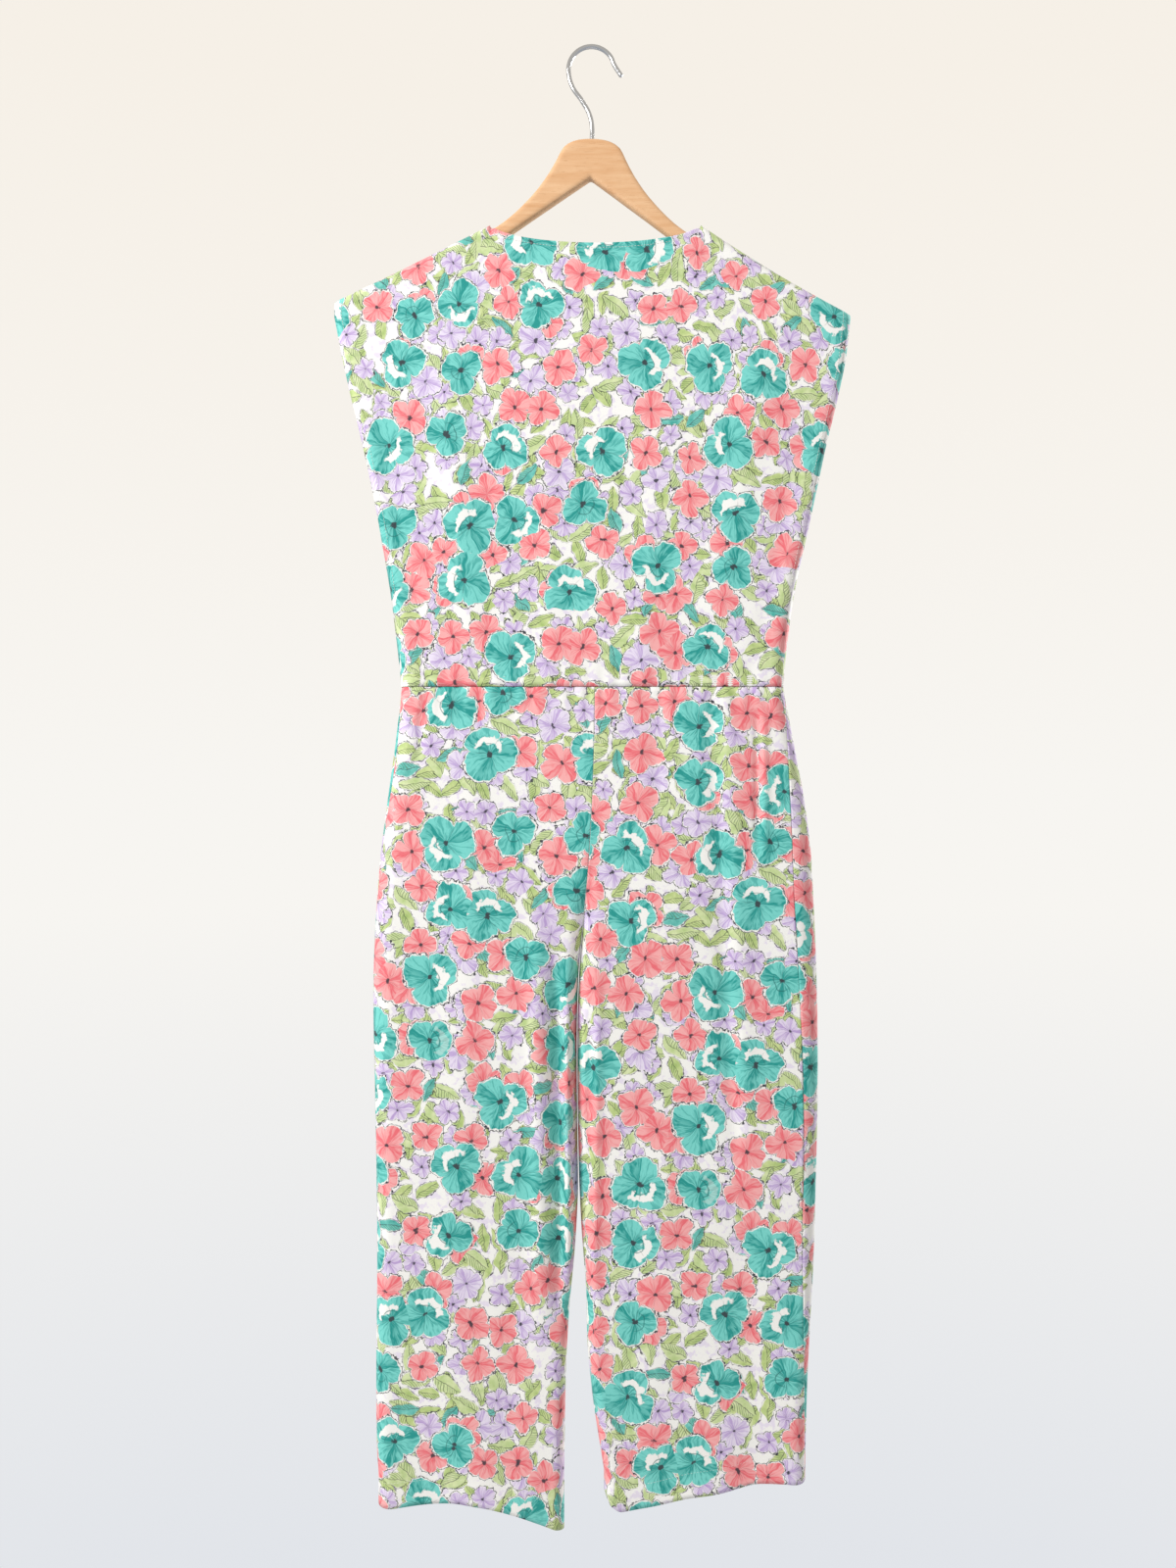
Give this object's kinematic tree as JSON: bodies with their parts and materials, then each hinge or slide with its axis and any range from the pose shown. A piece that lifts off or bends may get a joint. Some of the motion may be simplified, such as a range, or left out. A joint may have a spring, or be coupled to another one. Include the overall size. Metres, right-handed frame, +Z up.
{
  "type": "sleeveless jumpsuit on a wooden hanger",
  "caption": "Sleeveless floral woven jumpsuit with an elastic waist and cropped straight legs, hanging flat on a wooden hanger with a steel hook.",
  "frame": {"origin": "the inside top of the hook's curl, where it hangs on a peg or rail", "axes": "+Z up, the garment's back faces -Y and its front +Y, +X towards the wearer's right"},
  "size_m": [0.5269, 0.0406, 1.5124],
  "materials": {
    "floral_cloth": "smooth plain-woven rayon, white ground with a loose watercolour floral print, soft drape",
    "buttons": "polished white polyester buttons",
    "elastic": "white braided elastic",
    "hanger_wood": "light beech, sanded and clear lacquered",
    "hook_steel": "bright plated steel wire"
  },
  "bodies": {
    "root": {"bodice_back": "floral_cloth", "bodice_front_left": "floral_cloth", "bodice_front_right": "floral_cloth", "leg_back_left": "floral_cloth", "leg_back_right": "floral_cloth", "leg_front_left": "floral_cloth", "leg_front_right": "floral_cloth", "pocket_bag_left": "floral_cloth", "pocket_bag_right": "floral_cloth", "front_button_1": "buttons", "front_button_2": "buttons", "front_button_3": "buttons", "front_button_4": "buttons", "front_button_5": "buttons", "front_button_6": "buttons", "waist_elastic": "elastic", "hanger_wood": "hanger_wood", "hanger_hook": "hook_steel"}
  },
  "joints": []
}
